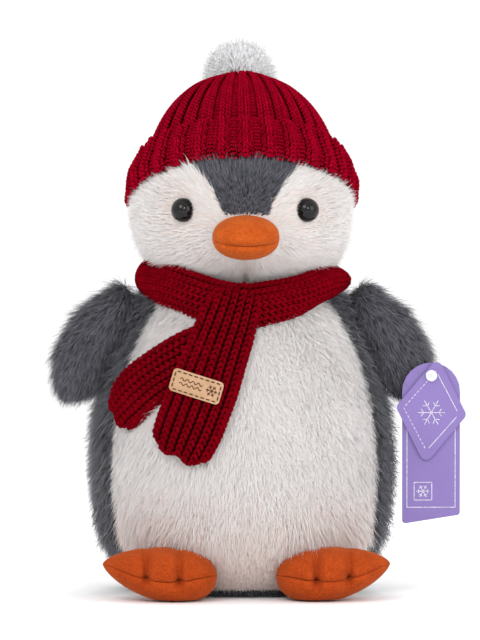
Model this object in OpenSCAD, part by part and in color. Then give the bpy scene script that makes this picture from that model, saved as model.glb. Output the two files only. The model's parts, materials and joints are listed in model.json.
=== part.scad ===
// Sitting plush penguin with a knitted hat and scarf, a leather scarf label and a swing tag.
// Millimetres. +Z is up, the face looks along -Y, and z = 0 is the surface the toy sits on.
// Left is -X and right is +X. Furry solids end at the middle of the pile.

/* [Body] */
// Widest radius of the body
body_r = 94; // [92:0.5:95]
// Height of the widest level
body_mid = 82; // [81:0.5:83]
// Radius of the flat base
base_r = 58; // [56:0.5:60]
// Half-height of the ellipse that shapes the shoulders
shoulder_h = 122.4; // [121:0.2:124]
// Half-angle of the white belly, seen from above
belly_angle = 62; // [58:1:66]
// Thickness of the plush skin with its pile
skin = 7; // [6:0.5:8]

/* [Head] */
// Radius of the head
head_r = 69; // [68.5:0.5:69.5]
// Height of the head's centre
head_z = 243; // [242:0.5:244]
// Angle of each eye to either side of the front
eye_angle = 36; // [34:1:38]
// Diameter of an eye
eye_d = 15; // [12:0.5:15]

/* [Hat] */
// Tilt of the hat towards the back
hat_tilt = 23; // [20:1:25]
// Radius of the crown
crown_r = 63; // [62:0.5:63]
// Height of the folded cuff
cuff_h = 30; // [26:1:32]
// Radius of the pom-pom
pom_r = 22.5; // [20:0.5:23]

/* [Wings and feet] */
// Thickness of a wing
wing_t = 30; // [28:1:30]
// Thickness of a foot, before its flat sole
foot_t = 31; // [30:1:32]

/* [Scarf] */
// Thickness of the knitted strip
scarf_t = 9; // [7:0.5:9]
// Width of the knitted strip
scarf_w = 45; // [40:1:46]
// Width of the leather label
label_w = 31.5; // [28:0.5:32]
// Height of the leather label
label_h = 14; // [12:0.5:15]

/* [Tag] */
// Width of the back card
card_w = 36; // [34:1:38]
// Height of the back card
card_h = 100; // [94:1:102]
// Thickness of a card
card_t = 0.5; // [0.4:0.1:0.6]

/* [Hidden] */

$fn = 72;
gap = 0.3;       // between neighbouring solids
far = 400;       // longer than the toy in any direction
soft_fn = 24;    // facets round the spheres that are hulled into wings, feet and beak

grey = "slategray";
cream = "oldlace";
orange = "chocolate";
crimson = "firebrick";
fibre = "gainsboro";

// Body profile: a superellipse below the widest level and an ellipse above it.
low_power = 2.6;
body_low = body_mid / pow(1 - pow(base_r / body_r, low_power), 1 / low_power);
body_top = 187;
base_h = 6;
profile_steps = 30;
bag_r = 42;
bag_h = 24;
bag_z = base_h + 3 + bag_h / 2;

function below_mid(z) = body_r * pow(1 - pow((body_mid - z) / body_low, low_power), 1 / low_power);
function above_mid(z) = body_r * sqrt(1 - pow((z - body_mid) / shoulder_h, 2));
function body_rad(z) = z < body_mid ? below_mid(z) : above_mid(z);
function body_line(grow, z0, z1) =
    [for (i = [0 : profile_steps]) let (z = z0 + (z1 - z0) * i / profile_steps) [body_rad(z) + grow, z]];

// Head: a ball below the hat, and a narrower round-topped column of squashed pile inside the hat.
under_hat_r = crown_r - 3.6;
crown_up = 21;
core_r = head_r - skin - 0.5;
head_back_y = 8;
forehead_low = [14, 234.5];   // half-width and height at the beak
forehead_cuff = [34, 269];    // half-width and height at the hat's cuff
forehead_top = [44, 330];

eye_drop = 4.1;               // degrees below the head's centre
eye_base = head_r - 5;        // distance of the eye's flat back from the head's centre
eye_room = 0.8;
stem_r = 2;
stem_l = 12;
washer_r = 8;
washer_t = 1.6;
washer_gap = 3;               // between a washer and the skin

pom_back = 33;                // degrees behind the vertical
pom_out = 95;                 // distance from the head's centre
tie_r = 1.2;
tie_span = [80.6, 99];        // distances from the head's centre
tie_cut = [70, 103];
cuff_rise = 4.5;              // how far the cuff's upper edge stands off the crown
brim_rise = 10;               // and its lower edge

// Beak: spheres that are hulled, [half their spacing, y, z, radius]
beak_seam_z = 216;
beak_fabric = 2.5;
beak_upper_balls = [[11, -68, 225, 9], [0, -66, 229, 8], [5, -82, 222, 8]];
beak_lower_balls = [[11, -68, 217, 8], [5, -81, 217, 7]];

// Wings: spheres that are hulled, [x, z, how much thinner than the wing the sphere is], at the right side
wing_y = -10;
wing_balls = [[78, 175, 3], [92, 166, 0], [103, 147, 0], [104, 134, 1], [94, 134, 8]];
wing_fabric = 6;

// Feet: [x, y, z, how much thinner than the foot's thickness the sphere is], at the right side
foot_balls = [[45, -62, 15, 0], [34, -76, 15, 0], [52, -86, 15, 0], [69, -82, 18, 9], [79, -82, 21, 16]];
foot_seam_z = 16;
foot_fabric = 4;
foot_room = 5.3;              // lets the foot flex below the belly

// Scarf: the neck loop is a ring that fills the groove between head and shoulders, lower at the front
loop_z = 190;
loop_ring_r = 50;
loop_tilt = 9;
loop_r = 16.5;
hinge_r = 69;                 // where a tail bends, from the toy's axis
hinge_z = 172;
hinge_end_r = 3.5;
tail_room = 0.8;              // between a tail and the belly
tail_top_w = 32;
tail_top_z = 169.5;
tail_corner = 12;
front_x = -11.8;
hinge_azimuth = asin(front_x / hinge_r);
front_lean = 17;
front_length = 94.5;

// Back tail, seen from its own azimuth: [x, z] from the front tail's edge, which holds it down, to its end
back_azimuth = 50;
back_t = 5;
back_outline = [
    [17, 168], [-35, 127], [-37.5, 123], [-36, 119], [-12, 101], [-5, 99.5], [12, 102.5], [17, 106],
];
label_place = [-6.5, -44.5];    // across and along the front tail
label_t = 1.2;
label_corner = 2.5;
stitch = [2.2, 0.6, 0.4];     // length, width and height
stitch_inset = 1.5;
stitches_long = 8;
stitches_short = 3;
long_row = 0.86;              // length of a row of stitches, as a share of the label's
short_row = 0.6;
label_from = tail_room + scarf_t + 0.1;

// Tag
hole = [116.5, 135.5];        // x and z of the tag's hole and its fastener
hole_r = 2;
shank_r = 0.7;
front_card_y = -31;
back_card_y = -29;
card_corner = 4;
card_end_corner = 2;
arc_steps = 12;
card_slant = 5;               // rise of the back card's lower edge from left to right
card_above = 8;               // how far the back card reaches above its hole
diamond = [43, 61];
diamond_turn = -7;
diamond_centre = [0, -22];    // from the hole
fastener_head_r = 3.5;
fastener_head_t = 1.2;
fastener_play = 0.6;          // between the fastener's head and the front card
fastener_back_y = 2.5;
bar_l = 9;

// ---------- helpers ----------

module body_solid(grow, z0, z1) {
    rotate_extrude() polygon(concat([[0, z0]], body_line(grow, z0, z1), [[0, z1]]));
}

module head_ball(grow) {
    translate([0, 0, head_z]) sphere(head_r + grow);
}

// A slice of the body's skin from one angle to another, counted from +X.
module skin_slice(from, to) {
    z0 = base_h + gap;
    seam = 0.1;
    difference() {
        rotate([0, 0, from + seam])
            rotate_extrude(angle = to - from - 2 * seam)
                polygon(concat(body_line(0, z0, body_top), reverse_list(body_line(-skin, z0, body_top))));
        head_ball(gap);
    }
}

function reverse_list(a) = [for (i = [len(a) - 1 : -1 : 0]) a[i]];

module in_hat_frame() {
    translate([0, 0, head_z]) rotate([-hat_tilt, 0, 0]) children();
}

// Column with a round top, along the hat's axis.
module hat_column(r, from) {
    rotate_extrude() {
        translate([0, from]) square([r, crown_up - from]);
        translate([0, crown_up]) intersection() {
            circle(r);
            square(r);
        }
    }
}

module below_brim(drop) {
    translate([-far / 2, -far / 2, -far - drop]) cube(far);
}

module head_outer() {
    in_hat_frame() {
        intersection() {
            sphere(head_r);
            below_brim(gap);
        }
        hat_column(under_hat_r, -head_r / 4);
    }
}

module head_core(grow) {
    in_hat_frame() {
        intersection() {
            sphere(core_r + grow);
            below_brim(skin - grow);
        }
        hat_column(under_hat_r - skin + grow, -head_r / 3);
    }
}

module head_skin() {
    difference() {
        head_outer();
        head_core(gap);
    }
}

// Everything on one side of the head's middle, in front of the ears or behind them.
module head_region(side, front) {
    x0 = side < 0 ? -far - gap / 2 : gap / 2;
    y0 = front ? head_back_y - gap / 2 - far : head_back_y + gap / 2;
    translate([x0, y0, head_z - far / 2]) cube(far);
}

module forehead_prism(grow) {
    outline = [forehead_low, forehead_cuff, forehead_top];
    right = [for (p = outline) [p[0] + grow, p[1] - grow]];
    left = [for (p = reverse_list(outline)) [-p[0] - grow, p[1] - grow]];
    translate([0, head_r, 0]) rotate([90, 0, 0]) linear_extrude(far) polygon(concat(right, left));
}

module in_eye_frame(side) {
    translate([0, 0, head_z]) rotate([90 + eye_drop, 0, side * eye_angle]) children();
}

// ---------- body ----------

module base_panel() {
    color(grey) body_solid(0, 0, base_h);
}

module belly_panel() {
    color(cream) skin_slice(-90 - belly_angle, -90 + belly_angle);
}

module back_panel_left() {
    color(grey) skin_slice(90, 270 - belly_angle);
}

module back_panel_right() {
    color(grey) skin_slice(-90 + belly_angle, 90);
}

// Flat round bag with a rounded rim.
module bag_solid(grow) {
    half = bag_h / 2 + grow;
    flat_r = bag_r - bag_h / 2;
    translate([0, 0, bag_z]) rotate_extrude() {
        translate([0, -half]) square([flat_r, 2 * half]);
        translate([flat_r, 0]) intersection() {
            circle(half);
            translate([0, -half]) square([half, 2 * half]);
        }
    }
}

module body_stuffing() {
    color(fibre) difference() {
        body_solid(-skin - gap, base_h + gap, body_top - 6);
        head_ball(gap);
        bag_solid(gap);
    }
}

module pellet_bag() {
    color("tan") bag_solid(0);
}

// ---------- head ----------

module face_panel(side) {
    color(cream) difference() {
        intersection() {
            head_skin();
            head_region(side, true);
        }
        forehead_prism(gap);
        in_eye_frame(side) {
            translate([0, 0, eye_base - gap]) cylinder(d = eye_d + eye_room, h = head_r);
            cylinder(r = stem_r + gap, h = head_r);
        }
    }
}

module face_panel_left() {
    face_panel(-1);
}

module face_panel_right() {
    face_panel(1);
}

module forehead_panel() {
    color(grey) intersection() {
        head_skin();
        forehead_prism(0);
        translate([0, head_back_y - gap / 2 - far / 2, head_z]) cube(far, center = true);
    }
}

module head_back_left() {
    color(grey) intersection() {
        head_skin();
        head_region(-1, false);
    }
}

module head_back_right() {
    color(grey) intersection() {
        head_skin();
        head_region(1, false);
    }
}

module head_stuffing() {
    pocket = 14;
    color(fibre) difference() {
        head_core(0);
        for (side = [-1, 1])
            in_eye_frame(side) translate([0, 0, eye_base - pocket]) cylinder(r = washer_r + gap, h = pocket);
    }
}

module eye(side) {
    color("black") in_eye_frame(side) {
        intersection() {
            translate([0, 0, eye_base + 1]) sphere(d = eye_d);
            translate([0, 0, eye_base]) cylinder(d = eye_d, h = eye_d);
        }
        translate([0, 0, eye_base - stem_l]) cylinder(r = stem_r, h = stem_l + 1);
    }
}

module eye_left() {
    eye(-1);
}

module eye_right() {
    eye(1);
}

module eye_washer(side) {
    color("white") in_eye_frame(side) translate([0, 0, core_r - washer_t - washer_gap]) difference() {
        cylinder(r = washer_r, h = washer_t);
        translate([0, 0, -1]) cylinder(r = stem_r + 0.05, h = washer_t + 2);
    }
}

module eye_washer_left() {
    eye_washer(-1);
}

module eye_washer_right() {
    eye_washer(1);
}

module beak_solid(balls, grow) {
    hull()
        for (b = balls, side = [-1, 1])
            translate([side * b[0], b[1], b[2]]) sphere(b[3] + grow, $fn = soft_fn);
}

// Everything below a level, and everything above it.
module below(z) {
    translate([-far / 2, -far / 2, z - far]) cube(far);
}

module above(z) {
    translate([-far / 2, -far / 2, z]) cube(far);
}

module beak_upper() {
    color(orange) difference() {
        beak_solid(beak_upper_balls, 0);
        beak_solid(beak_upper_balls, -beak_fabric);
        head_ball(gap);
        below(beak_seam_z);
    }
}

module beak_stuffing() {
    color(fibre) difference() {
        beak_solid(beak_upper_balls, -beak_fabric - gap);
        head_ball(gap);
        below(beak_seam_z);
    }
}

module beak_lower() {
    color(orange) difference() {
        beak_solid(beak_lower_balls, 0);
        head_ball(gap);
        above(beak_seam_z - gap);
    }
}

// ---------- hat ----------

module in_pom_frame() {
    translate([0, 0, head_z]) rotate([-pom_back, 0, 0]) children();
}

module tie(grow, span) {
    in_pom_frame() translate([0, 0, span[0]]) cylinder(r = tie_r + grow, h = span[1] - span[0]);
}

module hat_crown() {
    color(crimson) difference() {
        in_hat_frame() difference() {
            hat_column(crown_r, 0);
            hat_column(under_hat_r + gap, -1);
        }
        tie(0.1, tie_cut);
    }
}

module hat_cuff() {
    inner = crown_r + gap;
    top = crown_r + cuff_rise;
    brim = crown_r + brim_rise;
    round_off = 2;
    color(crimson) in_hat_frame() rotate_extrude()
        polygon([
            [inner, 0],
            [brim - round_off, 0],
            [brim, round_off],
            [brim, 3 * round_off],
            [top + 1.5 * round_off, cuff_h * 0.6],
            [top + round_off / 2, cuff_h - round_off],
            [top - round_off / 2, cuff_h],
            [inner, cuff_h],
        ]);
}

module pompom() {
    color("white") difference() {
        in_pom_frame() translate([0, 0, pom_out]) sphere(pom_r);
        in_hat_frame() hat_column(crown_r + gap, 0);
        tie(0.1, tie_cut);
    }
}

module pompom_tie() {
    color(crimson) tie(0, tie_span);
}

// ---------- wings ----------

module wing_solid(grow) {
    hull()
        for (b = wing_balls)
            translate([b[0], wing_y, b[1]]) sphere((wing_t - b[2]) / 2 + grow, $fn = soft_fn);
}

// One layer of the right wing: its front or back skin.
module wing_skin(front) {
    y0 = front ? wing_y - gap / 2 - far : wing_y + gap / 2;
    difference() {
        intersection() {
            wing_solid(0);
            translate([0, y0, 0]) cube(far);
        }
        wing_solid(-wing_fabric);
        body_solid(gap, 0, body_top);
    }
}

module wing_stuffing() {
    difference() {
        wing_solid(-wing_fabric - gap);
        body_solid(gap, 0, body_top);
    }
}

module fastener_room() {
    translate([hole[0], 0, hole[1]]) rotate([90, 0, 0]) cylinder(r = shank_r + gap, h = far, center = true);
}

module wing_left_front() {
    color(grey) mirror([1, 0, 0]) wing_skin(true);
}

module wing_left_back() {
    color(grey) mirror([1, 0, 0]) wing_skin(false);
}

module wing_left_stuffing() {
    color(fibre) mirror([1, 0, 0]) wing_stuffing();
}

module wing_right_front() {
    color(grey) difference() {
        wing_skin(true);
        fastener_room();
    }
}

module wing_right_back() {
    color(grey) difference() {
        wing_skin(false);
        fastener_room();
    }
}

module wing_right_stuffing() {
    color(fibre) wing_stuffing();
}

// ---------- feet ----------

module foot_solid(grow) {
    hull()
        for (b = foot_balls)
            translate([b[0], b[1], b[2]]) sphere((foot_t - b[3]) / 2 + 1 + grow, $fn = soft_fn);
}

module foot_layer(z0, z1, hollow) {
    difference() {
        intersection() {
            foot_solid(hollow ? 0 : -foot_fabric - gap);
            translate([0, -far, z0]) cube([far, far, z1 - z0]);
        }
        if (hollow) foot_solid(-foot_fabric);
        body_solid(foot_room, 0, body_mid);
    }
}

module foot_top() {
    foot_layer(foot_seam_z + gap / 2, far, true);
}

module foot_sole() {
    foot_layer(0, foot_seam_z - gap / 2, true);
}

module foot_stuffing() {
    foot_layer(foot_fabric, far, false);
}

module foot_left_top() {
    color(orange) mirror([1, 0, 0]) foot_top();
}

module foot_left_sole() {
    color(orange) mirror([1, 0, 0]) foot_sole();
}

module foot_left_stuffing() {
    color(fibre) mirror([1, 0, 0]) foot_stuffing();
}

module foot_right_top() {
    color(orange) foot_top();
}

module foot_right_sole() {
    color(orange) foot_sole();
}

module foot_right_stuffing() {
    color(fibre) foot_stuffing();
}

// ---------- scarf ----------

module scarf_neck_loop() {
    color(crimson) difference() {
        translate([0, 0, loop_z]) rotate([loop_tilt, 0, 0])
            rotate_extrude() translate([loop_ring_r, 0]) circle(loop_r);
        head_ball(gap);
        body_solid(gap, 0, body_top + 4);
    }
}

// Strip of the surface round the body from one distance off it to another, with a flat outline.
module over_belly(from, to) {
    z0 = 60;
    z1 = 176;
    intersection() {
        rotate_extrude()
            polygon(concat(body_line(to, z0, z1), reverse_list(body_line(from, z0, z1))));
        rotate([90, 0, 0]) linear_extrude(far) children();
    }
}

// Outline of the front tail: narrow where it is tied, full width below, with a rounded end.
module front_outline() {
    r = tail_corner;
    half = scarf_w / 2;
    widen = front_length * 0.4;
    intersection() {
        translate([front_x, hinge_z]) rotate(-front_lean) {
            polygon([
                [-tail_top_w / 2, 20],
                [tail_top_w / 2, 20],
                [half, -widen],
                [half, r - front_length],
                [half - r, -front_length],
                [r - half, -front_length],
                [-half, r - front_length],
                [-half, -widen],
            ]);
            for (side = [-1, 1]) translate([side * (half - r), r - front_length]) circle(r);
        }
        translate([-far / 2, tail_top_z - far]) square(far);
    }
}

module scarf_front_tail() {
    barrel = tail_top_w - 4;
    color(crimson) {
        over_belly(tail_room, tail_room + scarf_t) front_outline();
        rotate([0, 0, hinge_azimuth]) translate([-barrel / 2, -hinge_r, hinge_z]) rotate([0, 90, 0])
            cylinder(r = hinge_end_r, h = barrel);
    }
}

module scarf_back_tail() {
    color(crimson) rotate([0, 0, -back_azimuth])
        over_belly(tail_room, tail_room + back_t) polygon(back_outline);
}

module at_label() {
    translate([front_x, hinge_z]) rotate(-front_lean) translate(label_place) children();
}

module label_outline() {
    r = label_corner;
    square([label_w - 2 * r, label_h], center = true);
    square([label_w, label_h - 2 * r], center = true);
    for (x = [-1, 1], y = [-1, 1]) translate([x * (label_w / 2 - r), y * (label_h / 2 - r)]) circle(r);
}

module leather_label() {
    color("burlywood") over_belly(label_from, label_from + label_t) at_label() label_outline();
}

module label_stitches() {
    half_w = label_w / 2 - stitch_inset;
    half_h = label_h / 2 - stitch_inset;
    color("saddlebrown") over_belly(label_from + label_t, label_from + label_t + stitch[2]) at_label() {
        for (i = [0 : stitches_long - 1], side = [-1, 1])
            translate([half_w * long_row * (2 * i / (stitches_long - 1) - 1), side * half_h])
                square([stitch[0], stitch[1]], center = true);
        for (i = [0 : stitches_short - 1], side = [-1, 1])
            translate([side * half_w, half_h * short_row * (2 * i / (stitches_short - 1) - 1)])
                square([stitch[1], stitch[0]], center = true);
    }
}

// ---------- swing tag ----------

module card(y) {
    translate([hole[0], y, hole[1]]) rotate([90, 0, 0]) linear_extrude(card_t) difference() {
        children();
        circle(hole_r);
    }
}

function arc(centre, r, from, to) =
    [for (i = [0 : arc_steps]) let (a = from + (to - from) * i / arc_steps) centre + r * [cos(a), sin(a)]];

// Diamond with rounded corners.
module diamond_outline() {
    r = card_corner;
    a = diamond[0] / 2 - r;
    b = diamond[1] / 2 - r;
    slope = atan2(a, b);
    translate(diamond_centre) rotate(diamond_turn) polygon(concat(
        arc([a, 0], r, -slope, slope),
        arc([0, b], r, slope, 180 - slope),
        arc([-a, 0], r, 180 - slope, 180 + slope),
        arc([0, -b], r, 180 + slope, 360 - slope)
    ));
}

// Arched top round the hole and a slanted lower end with rounded corners.
module back_card_outline() {
    arch = card_w / 2;
    r = card_end_corner;
    low = card_above - card_h;
    slope = atan2(card_slant, card_w - 2 * r);
    polygon(concat(
        arc([0, card_above - arch], arch, 0, 180),
        arc([r - arch, low + r], r, 180, 270 + slope),
        arc([arch - r, low + card_slant + r], r, 270 + slope, 360)
    ));
}

module tag_front_card() {
    color("mediumpurple") card(front_card_y) diamond_outline();
}

module tag_back_card() {
    color("mediumpurple") card(back_card_y) back_card_outline();
}

module tag_fastener() {
    front = front_card_y - card_t - fastener_play;
    shank_l = fastener_back_y - front + 0.2;
    color("white") translate([hole[0], 0, hole[1]]) {
        translate([0, front, 0]) rotate([90, 0, 0]) cylinder(r = fastener_head_r, h = fastener_head_t);
        translate([0, fastener_back_y, 0]) rotate([90, 0, 0]) cylinder(r = shank_r, h = shank_l);
        translate([0, fastener_back_y, -bar_l / 2]) cylinder(r = shank_r, h = bar_l);
    }
}

base_panel();
belly_panel();
back_panel_left();
back_panel_right();
body_stuffing();
pellet_bag();
face_panel_left();
face_panel_right();
forehead_panel();
head_back_left();
head_back_right();
head_stuffing();
eye_left();
eye_right();
eye_washer_left();
eye_washer_right();
beak_upper();
beak_lower();
beak_stuffing();
hat_crown();
hat_cuff();
pompom();
pompom_tie();
wing_left_front();
wing_left_back();
wing_left_stuffing();
wing_right_front();
wing_right_back();
wing_right_stuffing();
foot_left_top();
foot_left_sole();
foot_left_stuffing();
foot_right_top();
foot_right_sole();
foot_right_stuffing();
scarf_neck_loop();
scarf_front_tail();
scarf_back_tail();
leather_label();
label_stitches();
tag_front_card();
tag_back_card();
tag_fastener();
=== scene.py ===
"""Looks of the sitting plush penguin: fur, knitted hat and scarf, suede beak and feet, label and swing tag.

Metres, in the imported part's frame: +Z is up, the face looks along -Y, left is -X.
"""

import json
import math

import bmesh
import bpy
import numpy as np
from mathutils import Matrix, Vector, kdtree


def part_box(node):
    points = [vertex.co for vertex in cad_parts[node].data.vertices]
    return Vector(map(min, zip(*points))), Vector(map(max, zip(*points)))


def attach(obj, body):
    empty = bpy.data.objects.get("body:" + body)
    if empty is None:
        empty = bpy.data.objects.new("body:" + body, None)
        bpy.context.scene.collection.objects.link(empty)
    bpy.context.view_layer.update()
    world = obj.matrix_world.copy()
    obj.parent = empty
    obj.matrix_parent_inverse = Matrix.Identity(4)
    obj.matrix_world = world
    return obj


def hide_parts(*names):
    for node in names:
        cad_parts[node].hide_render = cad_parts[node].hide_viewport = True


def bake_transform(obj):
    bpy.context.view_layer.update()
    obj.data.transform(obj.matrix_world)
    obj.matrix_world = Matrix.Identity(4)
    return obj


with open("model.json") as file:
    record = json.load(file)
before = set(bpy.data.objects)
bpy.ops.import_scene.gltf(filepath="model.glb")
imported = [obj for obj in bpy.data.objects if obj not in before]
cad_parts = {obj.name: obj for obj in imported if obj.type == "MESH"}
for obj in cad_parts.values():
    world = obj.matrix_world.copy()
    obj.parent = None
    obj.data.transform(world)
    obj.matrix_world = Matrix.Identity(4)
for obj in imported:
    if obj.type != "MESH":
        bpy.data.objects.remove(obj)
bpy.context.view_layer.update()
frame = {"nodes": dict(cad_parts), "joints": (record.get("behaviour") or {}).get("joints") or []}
NODES = frame["nodes"]
JOINTS = {j["name"]: j for j in frame["joints"]}
MM = 0.001

# ---------------------------------------------------------------- camera, lights, floor

VIEW_AZIMUTH = math.radians(-2.0)
VIEW_ELEVATION = math.radians(1.5)
VIEW_DISTANCE = 3.0
VIEW_HEIGHT = 0.401  # height of the picture at the toy
VIEW_TARGET = Vector((-0.0013, 0.0, 0.1693))
SENSOR = 36.0
FLOOR_HALF = 12.0
SQUARE = ((-1, -1), (1, -1), (1, 1), (-1, 1))


def aim(obj, target):
    obj.rotation_euler = (target - obj.location).to_track_quat("-Z", "Y").to_euler()


def placed(name, data):
    """A new object in the scene."""
    obj = bpy.data.objects.new(name, data)
    bpy.context.scene.collection.objects.link(obj)
    return obj


def make_camera():
    data = bpy.data.cameras.new("camera")
    cam = placed("camera", data)
    flat = math.cos(VIEW_ELEVATION)
    away = Vector((math.sin(VIEW_AZIMUTH) * flat, -math.cos(VIEW_AZIMUTH) * flat, math.sin(VIEW_ELEVATION)))
    cam.location = VIEW_TARGET + away * VIEW_DISTANCE
    aim(cam, VIEW_TARGET)
    data.sensor_width = SENSOR
    data.lens = SENSOR * VIEW_DISTANCE / VIEW_HEIGHT
    data.clip_start, data.clip_end = 0.05, 60.0
    bpy.context.scene.camera = cam


def make_light(name, place, size, watts):
    data = bpy.data.lights.new(name, "AREA")
    data.shape, data.size, data.energy = "DISK", size, watts
    lamp = placed(name, data)
    lamp.location = place
    aim(lamp, VIEW_TARGET)


def make_studio():
    make_light("key", (-0.8, -1.5, 1.3), 1.0, 11)
    make_light("fill", (1.3, -1.2, 0.7), 1.2, 7)
    make_light("rim", (0.3, 1.4, 1.3), 1.0, 8)
    make_light("catch", (0.25, -1.9, 0.90), 0.24, 7.0)
    world = bpy.data.worlds.new("studio")
    world.use_nodes = True
    sky = world.node_tree.nodes["Background"].inputs
    sky["Color"].default_value, sky["Strength"].default_value = rgba((1.0, 1.0, 1.0)), 1.05
    bpy.context.scene.world = world
    bpy.context.scene.view_settings.view_transform = "Standard"
    corners = [(x * FLOOR_HALF, y * FLOOR_HALF, 0) for x, y in SQUARE]
    white = Nodes("floor", 0.9).colour(rgba((0.97, 0.97, 0.975)))
    mesh_object("floor", corners, [(0, 1, 2, 3)], [white])


# ---------------------------------------------------------------- meshes

BAKE_UV = "OFBake"
SHADES = 16  # columns of the shade map that strands and stitches pick from
TINTED = SHADES * 3 // 4  # the first of the tinted shades
GOLDEN = 0.381966  # share of a turn that spreads neighbouring shades apart


def mesh_object(name, verts, faces, materials=(), uv=None, normals=None):
    """A smooth object from points and faces of one size, with an optional corner UV map and point normals."""
    faces = np.asarray(faces, np.int32)
    count, corners = faces.shape
    mesh = bpy.data.meshes.new(name)
    mesh.vertices.add(len(verts))
    mesh.vertices.foreach_set("co", np.asarray(verts, np.float32).ravel())
    mesh.loops.add(count * corners)
    mesh.loops.foreach_set("vertex_index", faces.ravel())
    mesh.polygons.add(count)
    mesh.polygons.foreach_set("loop_start", np.arange(0, count * corners, corners, dtype=np.int32))
    if uv is not None:
        mesh.uv_layers.new(name=BAKE_UV).data.foreach_set("uv", np.asarray(uv, np.float32).ravel())
    mesh.update(calc_edges=True)
    mesh.polygons.foreach_set("use_smooth", np.ones(count, bool))
    if normals is not None:
        mesh.normals_split_custom_set_from_vertices(np.asarray(normals, np.float32))
    for material in materials:
        mesh.materials.append(material)
    return placed(name, mesh)


def points_of(obj):
    """A mesh's points and their normals."""
    found = []
    for key in ("co", "normal"):
        values = np.empty(len(obj.data.vertices) * 3, np.float32)
        obj.data.vertices.foreach_get(key, values)
        found.append(values.reshape(-1, 3).astype(float))
    return found


def triangles_of(obj):
    mesh = obj.data
    mesh.calc_loop_triangles()
    tris = np.empty(len(mesh.loop_triangles) * 3, np.int32)
    mesh.loop_triangles.foreach_get("vertices", tris)
    return tris.reshape(-1, 3)


def unit(v):
    return v / np.maximum(np.linalg.norm(v, axis=-1, keepdims=True), 1e-12)


def bell(*offsets):
    """1 where every offset is 0, falling to nothing where one is well past 1."""
    return np.exp(-sum(offset**2 for offset in offsets))


def joined(parts):
    """The arrays of several parts, each kind end to end."""
    return [np.concatenate(pieces) for pieces in zip(*parts, strict=True)]


def pairs(points, closed=True):
    """Each point with the next one, and the last with the first if closed."""
    return list(zip(points, points[1:] + points[:1] if closed else points[1:], strict=closed))


def grid_faces(rows, columns, wrap):
    """Quads of a grid of points, closed round its columns if wrap."""
    r = np.arange(rows - 1)[:, None]
    c = np.arange(columns if wrap else columns - 1)[None, :]
    nxt = (c + 1) % columns
    quads = np.stack([r * columns + c, r * columns + nxt, (r + 1) * columns + nxt, (r + 1) * columns + c], -1)
    return quads.reshape(-1, 4)


def applied(obj):
    """The object with its modifiers made part of its mesh."""
    graph = bpy.context.evaluated_depsgraph_get()
    made = bpy.data.meshes.new_from_object(obj.evaluated_get(graph))
    obj.modifiers.clear()
    old, obj.data = obj.data, made
    bpy.data.meshes.remove(old)
    made.name = obj.name
    return obj


def ripple(p, scale, seed):
    """Smooth noise from -1 to 1 at points p, with waves about scale metres long."""
    rng = np.random.default_rng(seed)
    total = np.zeros(len(p))
    for _ in range(6):
        wave = unit(rng.normal(size=3)) * 2 * math.pi / scale * rng.uniform(0.6, 1.5)
        total += np.sin(p @ wave + rng.uniform(0, 2 * math.pi))
    return total / 3.5


# ---------------------------------------------------------------- materials


class Nodes:
    """Short calls for building one material's node tree."""

    def __init__(self, name, roughness, **constants):
        self.material = bpy.data.materials.new(name)
        self.material.use_nodes = True
        self.tree = self.material.node_tree
        self.shader = self.tree.nodes["Principled BSDF"]
        self.shader.inputs["Roughness"].default_value = roughness
        for socket, value in constants.items():
            self.shader.inputs[socket.replace("_", " ")].default_value = value

    def add(self, kind, inputs=None, **settings):
        node = self.tree.nodes.new("ShaderNode" + kind)
        for key, value in settings.items():
            setattr(node, key, value)
        for key, value in (inputs or {}).items():
            self.put(node.inputs[key], value)
        return node

    def put(self, socket, value):
        if isinstance(value, bpy.types.NodeSocket):
            self.tree.links.new(value, socket)
        else:
            socket.default_value = value

    def math(self, operation, *values):
        return self.add("Math", dict(enumerate(values)), operation=operation).outputs[0]

    def ramp(self, factor, low, high, *more):
        """Colour from stops of (position, colour), or (position, grey level)."""
        node = self.add("ValToRGB", {0: factor})
        stops, elements = (low, high, *more), node.color_ramp.elements
        while len(elements) < len(stops):
            elements.new(0.5)
        for element, (place, colour) in zip(elements, stops, strict=True):
            element.position, element.color = place, rgba(colour)
        return node.outputs["Color"]

    def mix(self, factor, a, b, blend="MIX"):
        return self.add("Mix", {0: factor, 6: a, 7: b}, data_type="RGBA", blend_type=blend).outputs[2]

    def times(self, a, b):
        return self.mix(1.0, a, b, "MULTIPLY")

    def noise(self, scale, detail):
        place = self.add("TexCoord").outputs["Object"]
        return self.add("TexNoise", {"Scale": scale, "Detail": detail, "Vector": place}).outputs["Fac"]

    def bake_map(self):
        """The two axes of the mesh's own UV map."""
        uv = self.add("UVMap", uv_map=BAKE_UV).outputs["UV"]
        axes = self.add("SeparateXYZ", {0: uv}).outputs
        return axes["X"], axes["Y"]

    def bump(self, height, distance, strength=1.0):
        node = self.add("Bump", {"Height": height, "Distance": distance, "Strength": strength})
        self.put(self.shader.inputs["Normal"], node.outputs["Normal"])

    def colour(self, value):
        self.put(self.shader.inputs["Base Color"], value)
        return self.material


def rgba(colour):
    """A colour, or a grey level, with an alpha of 1."""
    return (*(colour if isinstance(colour, tuple) else (colour,) * 3), 1.0)


def outward(n):
    """Both faces of a strand take the light of its outer face, as a fine round hair does."""
    geometry = n.add("NewGeometry").outputs
    flip = n.math("MULTIPLY_ADD", geometry["Backfacing"], -2.0, 1.0)
    turned = n.add("VectorMath", {0: geometry["Normal"]}, operation="SCALE")
    n.put(turned.inputs["Scale"], flip)
    n.put(n.shader.inputs["Normal"], turned.outputs["Vector"])


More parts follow.
